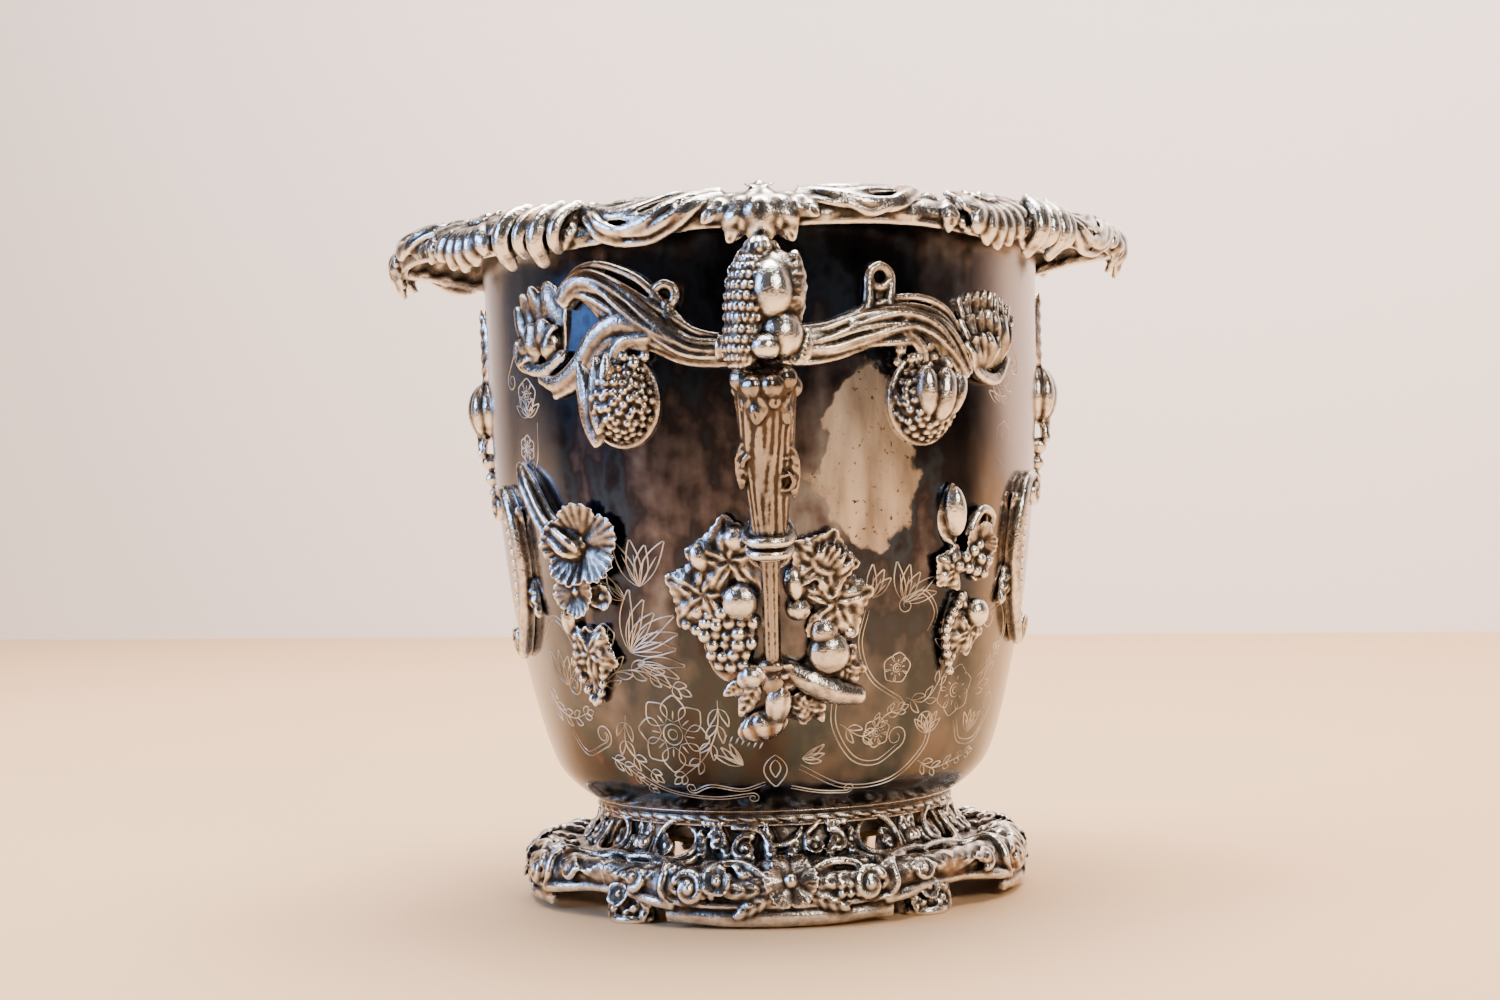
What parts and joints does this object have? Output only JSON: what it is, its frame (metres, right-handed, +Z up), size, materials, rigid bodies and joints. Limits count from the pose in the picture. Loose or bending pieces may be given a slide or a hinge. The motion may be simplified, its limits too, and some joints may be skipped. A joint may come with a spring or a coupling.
{
  "type": "champagne bucket",
  "caption": "Footed champagne bucket with cast vine handles, scroll border, openwork foot and applied fruit mounts.",
  "frame": {"origin": "centre of the foot's bottom face, on the table", "axes": "+Z up the bucket's axis; handles at -Y (front) and +Y (back); cartouches at -X and +X"},
  "size_m": [0.274, 0.3056, 0.254],
  "materials": {
    "bowl_plate": "silver plate on copper, dark uneven tarnish, engraved",
    "cast_plate": "cast and silver plated, dark in the hollows, rubbed bright on the high points",
    "bark_plate": "cast bark texture, plating worn to copper",
    "brass_fittings": "plain turned brass"
  },
  "bodies": {
    "root": {"back_handle_bridge": "cast_plate", "back_handle_grape_bunch": "cast_plate", "back_handle_horn": "bark_plate", "back_handle_left_branch": "cast_plate", "back_handle_left_fan_leaf": "cast_plate", "back_handle_left_hanging_fruit": "cast_plate", "back_handle_left_vine_leaf": "cast_plate", "back_handle_mixed_fruit": "cast_plate", "back_handle_right_branch": "cast_plate", "back_handle_right_fan_leaf": "cast_plate", "back_handle_right_hanging_fruit": "cast_plate", "back_handle_right_vine_leaf": "cast_plate", "back_handle_ring": "cast_plate", "back_handle_stem": "bark_plate", "back_handle_top_fruit": "cast_plate", "border_back_left": "cast_plate", "border_back_right": "cast_plate", "border_front_left": "cast_plate", "border_front_right": "cast_plate", "bucket_bowl": "bowl_plate", "foot_back": "cast_plate", "foot_collar": "cast_plate", "foot_front": "cast_plate", "foot_left": "cast_plate", "foot_nut": "brass_fittings", "foot_plate": "brass_fittings", "foot_right": "cast_plate", "foot_stud": "brass_fittings", "foot_washer": "brass_fittings", "front_handle_bridge": "cast_plate", "front_handle_grape_bunch": "cast_plate", "front_handle_horn": "bark_plate", "front_handle_left_branch": "cast_plate", "front_handle_left_fan_leaf": "cast_plate", "front_handle_left_hanging_fruit": "cast_plate", "front_handle_left_vine_leaf": "cast_plate", "front_handle_mixed_fruit": "cast_plate", "front_handle_right_branch": "cast_plate", "front_handle_right_fan_leaf": "cast_plate", "front_handle_right_hanging_fruit": "cast_plate", "front_handle_right_vine_leaf": "cast_plate", "front_handle_ring": "cast_plate", "front_handle_stem": "bark_plate", "front_handle_top_fruit": "cast_plate", "leaf_foot_back_left": "cast_plate", "leaf_foot_back_right": "cast_plate", "leaf_foot_front_left": "cast_plate", "leaf_foot_front_right": "cast_plate", "left_cartouche_back_flower_spray": "cast_plate", "left_cartouche_back_scroll": "cast_plate", "left_cartouche_drop": "cast_plate", "left_cartouche_front_flower_spray": "cast_plate", "left_cartouche_front_scroll": "cast_plate", "right_cartouche_back_flower_spray": "cast_plate", "right_cartouche_back_scroll": "cast_plate", "right_cartouche_drop": "cast_plate", "right_cartouche_front_flower_spray": "cast_plate", "right_cartouche_front_scroll": "cast_plate"}
  },
  "joints": []
}
